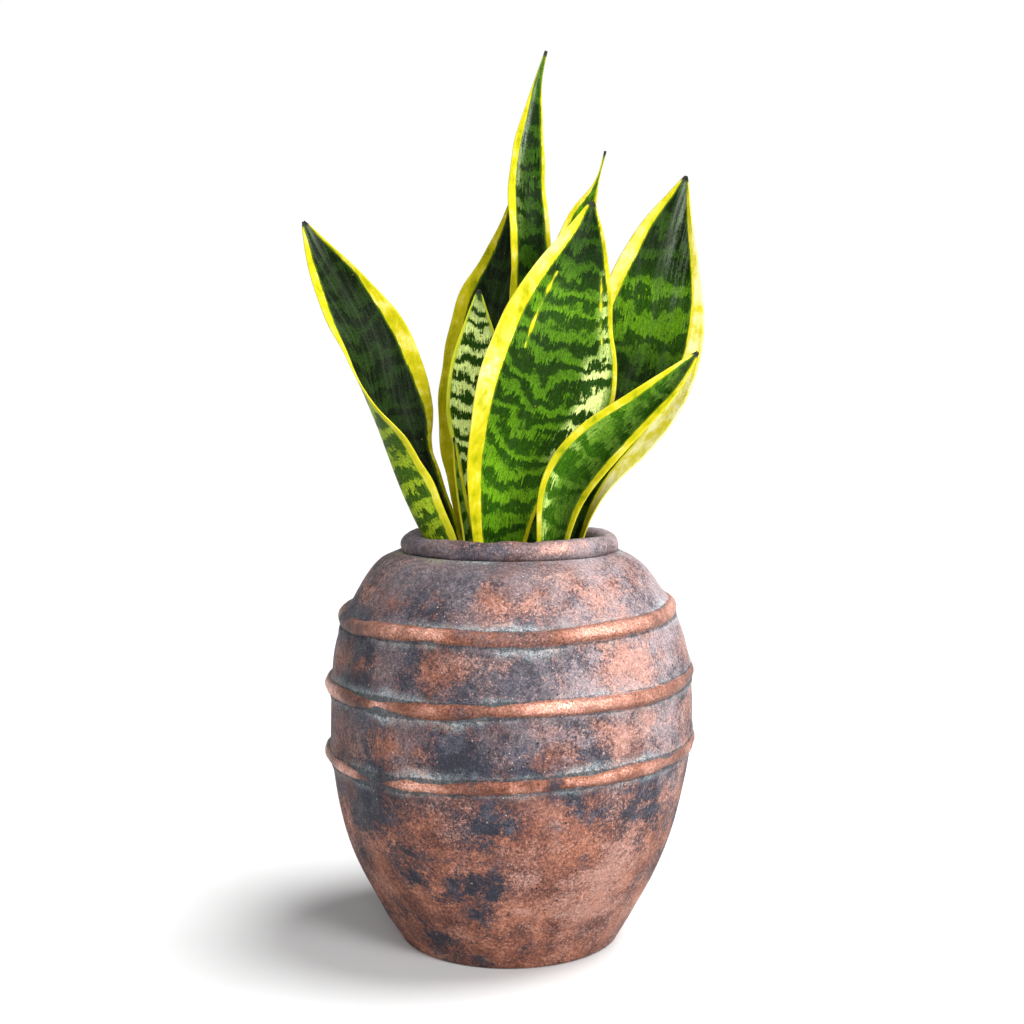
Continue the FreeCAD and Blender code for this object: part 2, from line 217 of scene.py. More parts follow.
class Nodes:
    """Short-hand for building a shader tree; plain numbers go on the sockets."""

    def __init__(self, name):
        self.mat = bpy.data.materials.new(name)
        self.mat.use_nodes = True
        self.tree = self.mat.node_tree
        self.tree.nodes.clear()
        self.bsdf = self.tree.nodes.new("ShaderNodeBsdfPrincipled")
        out = self.tree.nodes.new("ShaderNodeOutputMaterial")
        self.tree.links.new(self.bsdf.outputs[0], out.inputs[0])

    def put(self, socket, value):
        if isinstance(value, bpy.types.NodeSocket):
            self.tree.links.new(value, socket)
        elif value is not None:
            if isinstance(value, (tuple, list)) and socket.type == "RGBA" and len(value) == 3:
                value = (*value, 1.0)
            socket.default_value = value

    def new(self, kind, **props):
        node = self.tree.nodes.new(kind)
        for k, v in props.items():
            setattr(node, k, v)
        return node

    def attr(self, name, vector=False):
        return self.new("ShaderNodeAttribute", attribute_name=name).outputs[1 if vector else 2]

    def where(self):
        return self.new("ShaderNodeTexCoord").outputs["Object"]

    def split(self, vector):
        node = self.new("ShaderNodeSeparateXYZ")
        self.put(node.inputs[0], vector)
        return node.outputs

    def join(self, x, y, z):
        node = self.new("ShaderNodeCombineXYZ")
        for s, v in zip(node.inputs, (x, y, z)):
            self.put(s, v)
        return node.outputs[0]

    def math(self, op, a, b=None):
        node = self.new("ShaderNodeMath", operation=op)
        for s, v in zip(node.inputs, (a, b)):
            self.put(s, v)
        return node.outputs[0]

    def add(self, a, b):
        return self.math("ADD", a, b)

    def mul(self, a, b):
        return self.math("MULTIPLY", a, b)

    def sub(self, a, b):
        return self.math("SUBTRACT", a, b)

    def swing(self, value, gain):
        """A 0 to 1 value as a swing about nought."""
        return self.mul(self.sub(value, 0.5), gain)

    def noise(self, vector, scale, detail=4.0, rough=0.55, distort=0.0):
        node = self.new("ShaderNodeTexNoise")
        self.put(node.inputs["Vector"], vector)
        for key, v in (("Scale", scale), ("Detail", detail),
                       ("Roughness", rough), ("Distortion", distort)):
            self.put(node.inputs[key], v)
        return node.outputs[0]

    def cells(self, vector, scale):
        node = self.new("ShaderNodeTexVoronoi", feature="F1")
        self.put(node.inputs["Vector"], vector)
        self.put(node.inputs["Scale"], scale)
        return node.outputs

    def step(self, value, low, high, out_low=0.0, out_high=1.0):
        node = self.new("ShaderNodeMapRange", interpolation_type="SMOOTHSTEP")
        for s, v in zip(node.inputs, (value, low, high, out_low, out_high)):
            self.put(s, v)
        return node.outputs[0]

    def mix(self, fac, a, b, blend="MIX"):
        node = self.new("ShaderNodeMix", data_type="RGBA", blend_type=blend, clamp_factor=True)
        self.put(node.inputs[0], fac)
        self.put(node.inputs[6], a)
        self.put(node.inputs[7], b)
        return node.outputs[2]

    def ramp(self, fac, stops):
        node = self.new("ShaderNodeValToRGB")
        self.put(node.inputs[0], fac)
        el = node.color_ramp.elements
        while len(el) < len(stops):
            el.new(0.5)
        for e, (p, c) in zip(el, stops):
            e.position, e.color = p, (*c, 1.0)
        return node.outputs[0]

    def bump(self, height, strength, distance):
        node = self.new("ShaderNodeBump")
        self.put(node.inputs["Height"], height)
        self.put(node.inputs["Strength"], strength)
        self.put(node.inputs["Distance"], distance)
        return node.outputs[0]

    def finish(self, **sockets):
        for key, v in sockets.items():
            self.put(self.bsdf.inputs[key.replace("_", " ")], v)
        return self.mat


# ------------------------------------------------------------------- materials
# chalk on each kind of clay piece: mm by which patches and grains shift its edge, mm it reaches
CHALK = {"wall": (30.0, 13.0, 4.6), "rim": (10.0, 7.0, 1.6), "band": (10.0, 7.0, 1.6)}
# rubbed crests: scale of the rubbed stretches, how much is rubbed
RUBBED = {"rim": (20.0, -0.30), "band": (15.0, 0.22)}
STAIN_GAIN = 1.25
# ramps of colour on the clay: place from dark to light, linear colour
SLATE = [(0.15, (0.004, 0.005, 0.009)), (0.50, (0.014, 0.015, 0.026)),
         (0.85, (0.075, 0.078, 0.100))]
BROWN = [(0.10, (0.030, 0.012, 0.011)), (0.38, (0.115, 0.041, 0.028)),
         (0.62, (0.265, 0.098, 0.056)), (0.90, (0.480, 0.215, 0.135))]
DUST = [(0.15, (0.026, 0.021, 0.027)), (0.50, (0.118, 0.090, 0.095)), (0.88, (0.330, 0.275, 0.270))]
# paler dust for the painted sheen on the right side of the jar
LIT_DUST = [(0.12, (0.100, 0.078, 0.080)), (0.50, (0.330, 0.255, 0.255)),
            (0.85, (0.560, 0.460, 0.450))]
COPPER_DAB = [(0.12, (0.190, 0.080, 0.055)), (0.50, (0.390, 0.200, 0.150)),
              (0.85, (0.640, 0.420, 0.350))]
GREEN_CHALK = [(0.20, (0.110, 0.140, 0.150)), (0.50, (0.290, 0.345, 0.340)),
               (0.85, (0.580, 0.640, 0.610))]
WORN_SKIN = [(0.12, (0.048, 0.017, 0.012)), (0.50, (0.205, 0.072, 0.038)),
             (0.85, (0.430, 0.180, 0.105))]
BURNISHED = [(0.12, (0.380, 0.140, 0.085)), (0.50, (0.760, 0.365, 0.260)),
             (0.85, (0.970, 0.700, 0.600))]


def clay_material(name, kind):
    """Fired clay sponged with slate, brown and copper paint, chalky in the creases, with a painted
    sheen on the right side.
    """
    n = Nodes(name)
    p = n.where()
    x, y, height_m = n.split(p)
    z = n.mul(height_m, 1.0 / (HEIGHT * MM))  # 0 at the foot, 1 at the top of the rim

    def spread(vector, scale, detail, rough, gain, distort=0.0):
        return n.swing(n.noise(vector, scale, detail, rough, distort), gain)

    def total(*parts):
        out = parts[0]
        for part in parts[1:]:
            out = n.add(out, part)
        return out

    def moved(dx, dy, dz, kx=1.0, kz=1.0):
        return n.join(n.add(n.mul(x, kx), dx), n.add(n.mul(y, kx), dy),
                      n.add(n.mul(height_m, kz), dz))

    def tones(value, ramp):
        return n.ramp(n.add(0.5, value), ramp)

    fine = n.noise(p, 300.0, 4.0, 0.8)
    grit = n.noise(p, 900.0, 3.0, 0.8)
    speck = n.noise(moved(2, 1, 4), 560.0, 3.0, 0.85)
    fine_s = n.swing(fine, 1.5)
    grit_s = n.swing(grit, 1.2)
    speck_s = n.swing(speck, 1.5)
    # sponged brown over a slate ground, more slate high up on the jar
    brown = total(spread(p, 13.0, 2.0, 0.5, 1.5),
                  spread(moved(5, 2, 1, 1.0, 1.35), 38.0, 4.0, 0.62, 2.0, 0.35),
                  fine_s, n.mul(grit_s, 0.7), n.swing(z, -0.42))
    ragged = n.add(spread(moved(7, 3, 3), 40.0, 4.0, 0.65, 0.046), n.mul(fine_s, 0.004))
    flat = n.join(n.add(x, ragged), 0.0, n.sub(height_m, ragged))
    front = n.step(y, 0.0, -0.03)
    shift = None
    for at_x, at_z, size, weight in STAINS:
        gap = n.new("ShaderNodeVectorMath", operation="DISTANCE")
        n.tree.links.new(flat, gap.inputs[0])
        gap.inputs[1].default_value = (at_x / 1000, 0.0, at_z / 1000)
        spot = n.step(gap.outputs["Value"], size / 1000, 0.0, 0.0, STAIN_GAIN * weight)
        shift = spot if shift is None else n.add(shift, spot)
    shift = n.mul(shift, front)
    brown = n.add(brown, shift)
    brown_m = n.step(n.add(brown, n.mul(speck_s, 0.35)), -0.36, 0.20)
    # pale copper dabs on top, more of them towards the right side as a painted sheen
    dabs_and_sheen = total(spread(moved(1, 7, 3), 16.0, 2.0, 0.5, 1.7),
                 spread(moved(3, 3, 9, 0.8, 1.5), 55.0, 5.0, 0.66, 2.0, 0.5),
                 speck_s, n.mul(grit_s, 0.8))
    # painted sheen: the pale copper dabs grow towards the right side of the jar
    dabs_and_sheen = total(dabs_and_sheen, n.step(x, -0.07, 0.08, -0.12, 0.20), n.mul(shift, 0.5))
    dab_and_sheen_m = n.mul(n.step(dabs_and_sheen, 0.0, 0.75), n.step(brown, -0.30, 0.20))
    # dusty grey-violet film, mostly above the lower coil; on the right side of the jar it is
    # thicker and paler, a painted sheen
    dust = total(spread(moved(9, 4, 2), 20.0, 3.0, 0.55, 2.0),
                 spread(moved(2, 8, 2), 90.0, 4.0, 0.7, 1.2),
                 n.mul(speck_s, 0.9), n.mul(n.sub(z, 0.62), 0.85))
    # painted sheen: more and paler dust on the right side of the jar, above the lower coil
    lit = n.mul(n.step(x, -0.01, 0.065),
                n.step(n.add(z, n.mul(fine_s, 0.1)), 0.36, 0.60, 0.25, 1.0))
    dust_and_sheen_m = n.step(n.add(n.sub(dust, n.mul(n.math("ABSOLUTE", shift), 0.35)), n.mul(lit, 0.16)),
                    -0.15, 0.60, 0.0, 0.76)
    slate_c = tones(total(spread(moved(4, 4, 4), 60.0, 4.0, 0.65, 1.0), grit_s), SLATE)
    brown_c = tones(total(spread(moved(6, 1, 5), 45.0, 4.0, 0.65, 1.2), speck_s), BROWN)
    dust_and_sheen_c = tones(n.add(grit_s, n.mul(fine_s, 0.6)), DUST)
    dust_and_sheen_c = n.mix(n.mul(lit, 0.85), dust_and_sheen_c, tones(n.add(grit_s, n.mul(speck_s, 0.6)), LIT_DUST))
    dab_c = tones(n.add(grit_s, n.mul(fine_s, 0.7)), COPPER_DAB)
    near = n.step(n.attr("crease"), 22.0, 2.0)  # darker ground beside the coils
    colour = n.mix(n.mul(brown_m, n.sub(1.0, n.mul(near, 0.45))), slate_c, brown_c)
    colour = n.mix(dust_and_sheen_m, colour, dust_and_sheen_c)
    colour = n.mix(n.mul(dab_and_sheen_m, 0.78), colour, dab_c)
    metal = n.mul(n.math("MAXIMUM", dab_and_sheen_m, n.mul(brown_m, 0.5)), 0.42)
    rough = n.step(n.add(fine, n.mul(dab_and_sheen_m, 0.1)), 0.3, 0.75, 0.66, 0.50)
    # chalky green in the creases, with a thin dark line right in the corner
    crease = n.attr("crease")  # mm from the nearest crease
    patch = spread(moved(8, 8, 1), 24.0, 3.0, 0.6, 1.0)
    by_patch, by_grain, start = CHALK[kind]
    reach = n.add(crease, n.add(n.mul(patch, by_patch),
                                n.mul(total(fine_s, speck_s), by_grain * 0.45)))
    chalk = n.step(reach, start, -5.5, 0.0, 0.84)
    grains = n.step(total(n.mul(grit_s, 0.9), n.mul(fine_s, 0.6)), -0.30, 0.22, 0.12, 1.0)
    chalk = n.mul(chalk, grains)
    chalk_c = tones(n.add(grit_s, n.mul(fine_s, 0.5)), GREEN_CHALK)
    warm = n.mul(n.step(x, -0.012, -0.05), n.step(z, 0.88, 0.94))
    chalk_c = n.mix(n.mul(warm, 0.65), chalk_c, (0.50, 0.50, 0.24))
    colour = n.mix(chalk, colour, chalk_c)
    line = n.step(n.add(crease, n.mul(total(fine_s, patch), 1.9)), 0.9, 0.0, 0.0, 0.72)
    colour = n.mix(line, colour, (0.018, 0.016, 0.019))
    cover = n.math("MAXIMUM", chalk, line)
    metal = n.mul(metal, n.sub(1.0, cover))
    rough = n.add(rough, n.mul(cover, 0.2))
    if kind in RUBBED:
        worn = n.attr("worn")  # 0 in the crease, 1 on the crest
        stretch, bias = RUBBED[kind]
        length = n.add(spread(moved(3, 5, 7), stretch, 2.0, 0.5, 2.0), n.mul(shift, 1.1))
        edge = total(worn, n.mul(fine_s, 0.45), n.mul(grit_s, 0.25))
        where = total(length, spread(moved(1, 2, 3), 60.0, 4.0, 0.6, 0.9), bias)
        if kind == "band":
            skin = n.mul(n.step(edge, 0.20, 0.75), n.step(where, -0.50, 0.10))
            skin_c = n.ramp(total(0.44, speck_s, n.mul(grit_s, 0.5), n.mul(where, 0.36)),
                            WORN_SKIN)
            colour = n.mix(n.mul(skin, 0.85), colour, skin_c)
            metal = n.add(metal, n.mul(skin, 0.45))
            rough = n.add(rough, n.mul(skin, n.sub(0.38, rough)))
        burn = n.mul(n.step(n.add(edge, n.mul(grit_s, 0.5)), 0.66, 1.10), n.step(where, 0.0, 0.55))
        burn_c = tones(n.add(grit_s, n.mul(fine_s, 0.5)), BURNISHED)
        colour = n.mix(n.mul(burn, 0.92), colour, burn_c)
        metal = n.math("MINIMUM", n.add(metal, n.mul(burn, 0.60)), 0.90)
        rough = n.add(rough, n.mul(burn, n.sub(0.27, rough)))
    # dark pinholes and a few pale grains
    pit = n.cells(p, 170.0)
    hole = n.mul(n.step(pit[0], 0.15, 0.07), n.step(n.split(pit[1])[0], 0.76, 0.80))
    if kind != "wall":
        hole = n.mul(hole, 0.35)
    dot = n.cells(moved(1, 1, 1), 420.0)
    small = n.mul(n.step(dot[0], 0.26, 0.14), n.step(n.split(dot[1])[0], 0.66, 0.70))
    pale = n.mul(n.step(dot[0], 0.22, 0.12), n.step(n.split(dot[1])[1], 0.93, 0.95))
    colour = n.mix(n.mul(small, 0.75), colour, (0.012, 0.011, 0.013))
    colour = n.mix(n.mul(pale, 0.6), colour, (0.62, 0.55, 0.50))
    colour = n.mix(hole, colour, (0.006, 0.005, 0.005))
    height = total(n.mul(fine, 0.9), n.mul(grit, 0.5), n.mul(n.noise(p, 110.0, 3.0, 0.6), 0.9),
                   n.mul(dab_and_sheen_m, 0.08))
    height = n.sub(height, n.add(n.mul(hole, 1.5), n.mul(small, 0.35)))
    colour = n.mix(1.0, colour, (0.92, 0.93, 0.97), "MULTIPLY")
    normal = n.bump(height, 0.90, 0.0014)
    return n.finish(Base_Color=colour, Metallic=metal, Roughness=rough, Normal=normal,
                    Specular_IOR_Level=0.28)


def raw_clay_material():
    """Unpainted clay of the inside."""
    n = Nodes("clay_inside")
    p = n.where()
    a = n.noise(p, 45.0, 5.0, 0.6)
    b = n.noise(p, 700.0, 3.0, 0.7)
    # marks of the wheel
    rings = n.noise(n.join(n.mul(n.split(p)[0], 0.05), n.mul(n.split(p)[1], 0.05), n.split(p)[2]),
                    260.0, 3.0, 0.5)
    colour = n.ramp(n.add(n.mul(a, 0.7), n.mul(b, 0.3)),
                    [(0.3, (0.045, 0.030, 0.026)), (0.7, (0.130, 0.085, 0.068))])
    normal = n.bump(n.add(n.mul(b, 0.5), rings), 0.5, 0.0008)
    return n.finish(Base_Color=colour, Roughness=0.85, Normal=normal)


def leaf_material():
    """Waxy snake-plant leaf: cross bands with torn edges, pale margins."""
    n = Nodes("leaf_variegated")
    place = n.attr("leaf_place", True)  # across mm, along mm, seed
    bands = n.attr("leaf_band", True)  # band count, contrast, brightness
    margin = n.attr("leaf_margin", True)  # mm inside the green, pale weight, dark (minus: cream)
    # the streak weight gives waxy grey streaks, and above about 0.5 a painted sheen
    end = n.attr("leaf_end", True)  # mm from the tip, 1 on the back, streak weight
    ax, ay, seed = n.split(place)
    turns, contrast, bright = n.split(bands)
    inside, pale, dark = n.split(margin)
    tip, back, streak_w = n.split(end)

    def streaks(across, along, detail, rough, shift=0.0):
        """Noise on the blade: cycles per mm across and along it."""
        return n.noise(n.join(n.mul(ax, across), n.mul(ay, along),
                              n.add(seed, shift) if shift else seed), 1.0, detail, rough)

    torn = streaks(1.15, 0.115, 3.0, 0.65)
    torn2 = streaks(0.42, 0.06, 3.0, 0.6, 9.0)
    cloud = streaks(0.055, 0.055, 4.0, 0.6, 4.0)
    speck = streaks(1.9, 0.75, 3.0, 0.7)
    grain = streaks(2.6, 0.10, 2.0, 0.6)
    # cross bands with torn edges, light on deep green
    phase = n.add(turns, n.add(n.swing(torn, 0.95), n.swing(cloud, 2.6)))
    wave = n.math("SINE", n.mul(phase, 2 * math.pi))
    wave = n.add(wave, n.swing(torn2, 1.6))
    wave = n.add(wave, n.swing(speck, 0.9))
    band = n.step(wave, -0.35, 0.55)
    white = n.math("MAXIMUM", n.mul(dark, -1.0), 0.0)
    dark = n.math("MAXIMUM", dark, 0.0)
    light = n.mix(bright, (0.022, 0.066, 0.002), (0.125, 0.285, 0.006))
    light = n.mix(n.mul(back, 0.80), light, (0.270, 0.360, 0.016))
    light = n.mix(pale, light, (0.580, 0.690, 0.220))
    deep = n.mix(bright, (0.0020, 0.0085, 0.0003), (0.026, 0.088, 0.002))
    deep = n.mix(n.mul(back, 0.55), deep, (0.045, 0.090, 0.006))
    deep = n.mix(n.mul(pale, 0.55), deep, (0.016, 0.050, 0.004))
    body = n.mix(n.mul(band, contrast), deep, light)
    body = n.mix(n.mul(dark, 0.90), body,
                 n.mix(band, (0.0022, 0.0048, 0.0012), (0.0065, 0.0155, 0.0028)))
    mottle = n.step(n.add(speck, n.swing(torn, 0.7)), 0.30, 0.72, 0.52, 1.45)
    body = n.mix(1.0, body, n.join(mottle, mottle, mottle), "MULTIPLY")
    # waxy grey streaks along the blade; where the streak weight is high they turn whitish, a
    # painted sheen
    long = streaks(0.24, 0.014, 4.0, 0.68, 6.0)
    bloom_and_sheen = n.mul(n.step(n.add(long, n.swing(speck, 0.40)), 0.40, 0.74), streak_w)
    # grey for the waxy streaks, pale for the painted sheen
    bloom_and_sheen_c = n.mix(n.step(streak_w, 0.5, 1.3), (0.070, 0.090, 0.056), (0.300, 0.350, 0.270))
    body = n.mix(n.mul(bloom_and_sheen, 0.46), body, bloom_and_sheen_c)
    body = n.mix(n.step(speck, 0.56, 0.78, 0.0, 0.22), body,
                 n.mix(back, (0.045, 0.120, 0.006), (0.28, 0.38, 0.03)))
    # margin, with a torn inner edge and washed-out patches
    blotch = streaks(0.10, 0.085, 3.0, 0.6, 2.0)
    margin_c = n.ramp(n.add(blotch, n.swing(torn2, 0.35)),
                      [(0.24, (0.150, 0.175, 0.001)), (0.38, (0.300, 0.285, 0.003)),
                       (0.54, (0.400, 0.350, 0.008)), (0.76, (0.560, 0.500, 0.130))])
    margin_c = n.mix(n.mul(back, 0.35), margin_c, (0.44, 0.45, 0.03))
    cream = n.mix(n.step(n.add(blotch, n.swing(torn2, 0.3)), 0.30, 0.62),
                  (0.700, 0.620, 0.030), (0.930, 0.880, 0.430))
    margin_c = n.mix(white, margin_c,
                     n.mix(n.step(inside, -0.4, -3.5), (0.620, 0.560, 0.020), cream))
    margin_c = n.mix(n.mul(pale, 0.55), margin_c, (0.34, 0.44, 0.03))
    ragged = n.add(inside, n.add(n.swing(torn, 2.0), n.swing(speck, 0.5)))
    green = n.step(ragged, -0.30, 0.30)
    rim_line = n.mul(n.step(ragged, 1.6, 0.3), n.mul(green, 0.35))
    body = n.mix(rim_line, body, (0.10, 0.19, 0.008))
    colour = n.mix(green, margin_c, body)
    # a few brown scars, a dry tip
    scar = n.cells(n.join(n.mul(ax, 0.16), n.mul(ay, 0.12), seed), 1.0)
    spot = n.mul(n.step(scar[0], 0.09, 0.03), n.step(n.split(scar[1])[0], 0.82, 0.86))
    colour = n.mix(n.mul(spot, 0.6), colour, (0.26, 0.16, 0.07))
    dry = n.step(n.add(tip, n.swing(torn, 3.0)), 4.8, 2.2)
    colour = n.mix(dry, colour, (0.020, 0.022, 0.016))
    rough = n.add(n.step(grain, 0.3, 0.7, 0.34, 0.48), n.mul(dry, 0.3))
    height = n.add(n.mul(grain, 0.5), n.add(n.mul(torn2, 0.9), n.mul(speck, 0.25)))
    normal = n.bump(height, 0.30, 0.0006)
    return n.finish(Base_Color=colour, Roughness=rough, Normal=normal, Specular_IOR_Level=0.025)


def mix_material():
    """Dark crumbly potting mix."""
    n = Nodes("potting_mix")
    p = n.where()
    a = n.noise(p, 260.0, 6.0, 0.7)
    cell = n.cells(p, 330.0)
    shade = n.add(n.mul(a, 0.7), n.mul(n.split(cell[1])[0], 0.3))
    colour = n.ramp(shade, [(0.25, (0.010, 0.007, 0.005)), (0.55, (0.038, 0.024, 0.015)),
                            (0.85, (0.105, 0.066, 0.038))])
    normal = n.bump(n.add(a, n.mul(cell[0], 0.8)), 0.9, 0.0016)
    return n.finish(Base_Color=colour, Roughness=0.95, Normal=normal)


def chip_material(name, dark, light, rough):
    """Fibrous chips, from a dark to a light colour."""
    n = Nodes(name)
    p = n.where()
    a = n.noise(p, 300.0, 5.0, 0.7)
    fibre = n.noise(n.join(n.mul(n.split(p)[0], 3.0), n.split(p)[1], n.mul(n.split(p)[2], 2.0)),
                    420.0, 4.0, 0.6)
    colour = n.ramp(n.add(n.mul(a, 0.6), n.mul(fibre, 0.4)), [(0.3, dark), (0.7, light)])
    return n.finish(Base_Color=colour, Roughness=rough, Normal=n.bump(fibre, 0.6, 0.0006))


def plastic_material():
    """Dull black plastic of the nursery pot."""
    n = Nodes("pot_plastic")
    p = n.where()
    a = n.noise(p, 900.0, 2.0, 0.6)
    b = n.noise(p, 30.0, 4.0, 0.6)
    colour = n.ramp(b, [(0.35, (0.012, 0.012, 0.013)), (0.7, (0.026, 0.026, 0.027))])
    rough = n.step(b, 0.3, 0.7, 0.42, 0.60)
    return n.finish(Base_Color=colour, Roughness=rough, Normal=n.bump(a, 0.25, 0.0003))


def root_material():
    """Pale ringed skin of the rhizome."""
    n = Nodes("rhizome_skin")
    p = n.where()
    a = n.noise(p, 120.0, 5.0, 0.6)
    rings = n.noise(n.join(n.split(p)[0], n.mul(n.split(p)[1], 0.2), n.mul(n.split(p)[2], 0.2)),
                    330.0, 2.0, 0.5)
    colour = n.ramp(n.add(n.mul(a, 0.6), n.mul(rings, 0.4)),
                    [(0.3, (0.30, 0.20, 0.09)), (0.7, (0.62, 0.50, 0.28))])
    return n.finish(Base_Color=colour, Roughness=0.6, Normal=n.bump(rings, 0.5, 0.0008))


# ------------------------------------------------------------------------- jar
WALL_LEN = chord(OUTSIDE)[-1]
WALL_S = np.linspace(0, WALL_LEN, 190)  # rows of the wall, mm from the foot
WALL_RZ, WALL_D = spline(chord(OUTSIDE), OUTSIDE)(WALL_S)
SEG = 424  # columns round the jar
THETA = np.arange(SEG) * 2 * math.pi / SEG


def wall_r(z):
    """Radius of the wall at a height."""
    return np.interp(z, WALL_RZ[:, 1], WALL_RZ[:, 0])


def coil_height(name, theta):
    """Middle height of a hand-laid coil round the jar."""
    z0, proud, slope_x, slope_y, seed = COILS[name]
    r = wall_r(z0) + proud - COIL_R
    return (z0 + r * (np.cos(theta) * slope_x + np.sin(theta) * slope_y)
            + 0.75 * waves(theta, 0 * theta, seed, 6, 2, 6, 0))


def crease_distance(theta, z, slope):
    """Distance in mm, along the wall, to the nearest coil edge or the rim's underside."""
    best = (LEDGE_Z - z) * np.sqrt(1 + slope ** 2)
    for name, (_, proud, *_) in COILS.items():
        half = math.sqrt(COIL_R ** 2 - (COIL_R - proud) ** 2)
        d = np.abs(z - coil_height(name, theta)) * np.sqrt(1 + slope ** 2) - half
        best = np.minimum(best, np.maximum(d, 0))
    return best


def make_jar():
    """One closed skin: foot, wavy outer wall, neck ledge, inner wall, floor."""
    nrm = np.stack([WALL_D[:, 1], -WALL_D[:, 0]], 1)
    nrm /= np.linalg.norm(nrm, axis=1)[:, None]
    slope = np.clip(WALL_D[:, 0] / np.maximum(WALL_D[:, 1], 1e-3), -3, 3)
    th, s = np.meshgrid(THETA, WALL_S)
    r0 = np.repeat(WALL_RZ[:, :1], SEG, 1)
    z0 = np.repeat(WALL_RZ[:, 1:], SEG, 1)
    crease = crease_distance(th, z0, np.repeat(slope[:, None], SEG, 1))
    # waves of three sizes, none at the foot and at the ledge, and clay pushed up to the coils
    fade = np.clip(s / 18, 0, 1) * np.clip((WALL_LEN - s) / 14, 0, 1)
    off = 0.75 * waves(th, s / 60, 1, 14, 1, 5, 1.6) + 0.30 * waves(th, s / 25, 2, 40, 5, 16, 1.6)
    off += 0.13 * waves(th, s / 9, 3, 60, 16, 44, 1.5)
    off = off * fade + 1.1 * np.exp(-(crease / 3.4) ** 2)
    r = r0 + off * nrm[:, :1]
    z = np.minimum(z0 + off * nrm[:, 1:], LEDGE_Z + 0.2)
    outer = np.stack([r * np.cos(th), r * np.sin(th), z], -1)
    # the other rings, radius and height: under the foot, then ledge, inner wall and floor
    ins = [(r_ - WALL * n_[0], z_ - WALL * n_[1]) for (r_, z_), n_ in zip(WALL_RZ, nrm)]
    ins = [q for q in ins if FLOOR_T + 6 < q[1] < LEDGE_Z - 18][::-6]
    under = [(0.0, 0.0), (30, 0.0), (60, 0.0), (70, 0.0), (72, 0.0), (74.9, 0.9)]
    top = [(70, LEDGE_Z), (62, LEDGE_Z), (NECK_R + 0.8, LEDGE_Z), (NECK_R, LEDGE_Z - 0.8),
           (NECK_R, LEDGE_Z - 4), (NECK_R, LEDGE_Z - 8)]
    tail = [(ins[-1][0] - 6, FLOOR_T), (60, FLOOR_T), (30, FLOOR_T), (0.0, FLOOR_T)]

    def rings(points):
        return np.array([np.stack([max(r_, 0.01) * np.cos(THETA), max(r_, 0.01) * np.sin(THETA),
                                   np.full(SEG, z_)], -1) for r_, z_ in points])

    under_r, rest_r = rings(under), rings(top + ins + tail)
    verts = np.concatenate([under_r, outer, rest_r])
    faces = grid_faces(len(verts), SEG)
    far = np.full((len(under), SEG), 60.0), np.full((len(rest_r), SEG), 30.0)
    creases = np.concatenate([far[0], crease, far[1]])
    o = add_mesh("jar_skin", verts.reshape(-1, 3), faces, {"crease": creases.ravel()})
    inner_from = (len(under) + len(outer) + 3) * SEG  # unpainted from the edge of the neck inwards
    idx = (faces.min(1) >= inner_from).astype(np.int32)
    o.data.materials.append(clay_material("clay_wall", "wall"))
    o.data.materials.append(raw_clay_material())
    o.data.polygons.foreach_set("material_index", idx)
    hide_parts("jar_body")
    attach(o, PLANTER)


def make_tube(centre_r, centre_z, tube_r, seed, sides, lump, top=math.inf):
    """Hand-rolled clay coil: centre ring given per angle, uneven tube, pressed flat at the top."""
    phi = np.arange(sides) * 2 * math.pi / sides
    th, ph = np.meshgrid(THETA, phi)
    cr, cz, tr = (np.broadcast_to(v, (SEG,))[None] for v in (centre_r, centre_z, tube_r))
    t = tr * (1 + 0.035 * waves(THETA, 0 * THETA, seed, 8, 3, 12, 0)[None])
    t = t + lump * waves(th, ph, seed + 1, 30, 4, 20, 1.2)
    t = t + 0.10 * waves(th, ph, seed + 2, 40, 20, 60, 3)
    r = cr + t * np.cos(ph)
    z = np.minimum(cz + t * np.sin(ph), top)
    verts = np.stack([r * np.cos(th), r * np.sin(th), z], -1).reshape(-1, 3)
    faces = grid_faces(sides, SEG, close_rows=True)[:, ::-1]
    return verts, faces, ph


def make_rim():
    """Rolled rim; its crest is rubbed, its underside is chalky."""
    cz = RIM_CENTRE_Z + 0.35 * waves(THETA, 0 * THETA, 31, 5, 2, 5, 0)
    verts, faces, ph = make_tube(RIM_CENTRE_R, cz, RIM_TUBE_R, 41, 56, 0.22, HEIGHT + 0.4)
    below = np.maximum(verts[:, 2] - LEDGE_Z, 0).reshape(ph.shape)
    crease = np.where(np.cos(ph) > -0.2, below * 1.3, 30.0)
    worn = np.clip(np.cos(ph - 0.45), 0, 1) ** 0.8
    o = add_mesh("rim_skin", verts, faces, {"crease": crease.ravel(), "worn": worn.ravel()})
    o.data.materials.append(clay_material("clay_rim", "rim"))
    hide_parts("rim_roll")
    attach(o, PLANTER)


def make_coils():
    """Three coils on the wall; crease and worn come from how far a point stands out of it."""
    mat = clay_material("clay_band", "band")
    for k, (name, (z0, proud, *_)) in enumerate(COILS.items()):
        cz = coil_height(name, THETA)
        cr = wall_r(cz) + proud - COIL_R + 0.22 * waves(THETA, 0 * THETA, 60 + k, 8, 2, 9, 0)
        verts, faces, ph = make_tube(cr, cz, COIL_R, 70 + 5 * k, 44, 0.20)
        i = np.argmin(np.abs(WALL_RZ[:, 1] - z0))
        tilt = math.atan2(-WALL_D[i, 0], WALL_D[i, 1])
        edge = (COIL_R - proud) / COIL_R
        worn = np.clip((np.cos(ph - tilt) - edge) / (1 - edge), 0, 1) ** 0.6
        crease = worn * 7.0
        o = add_mesh(name + "_skin", verts, faces, {"crease": crease.ravel(), "worn": worn.ravel()})
        o.data.materials.append(mat)
        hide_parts(name)
        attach(o, PLANTER)


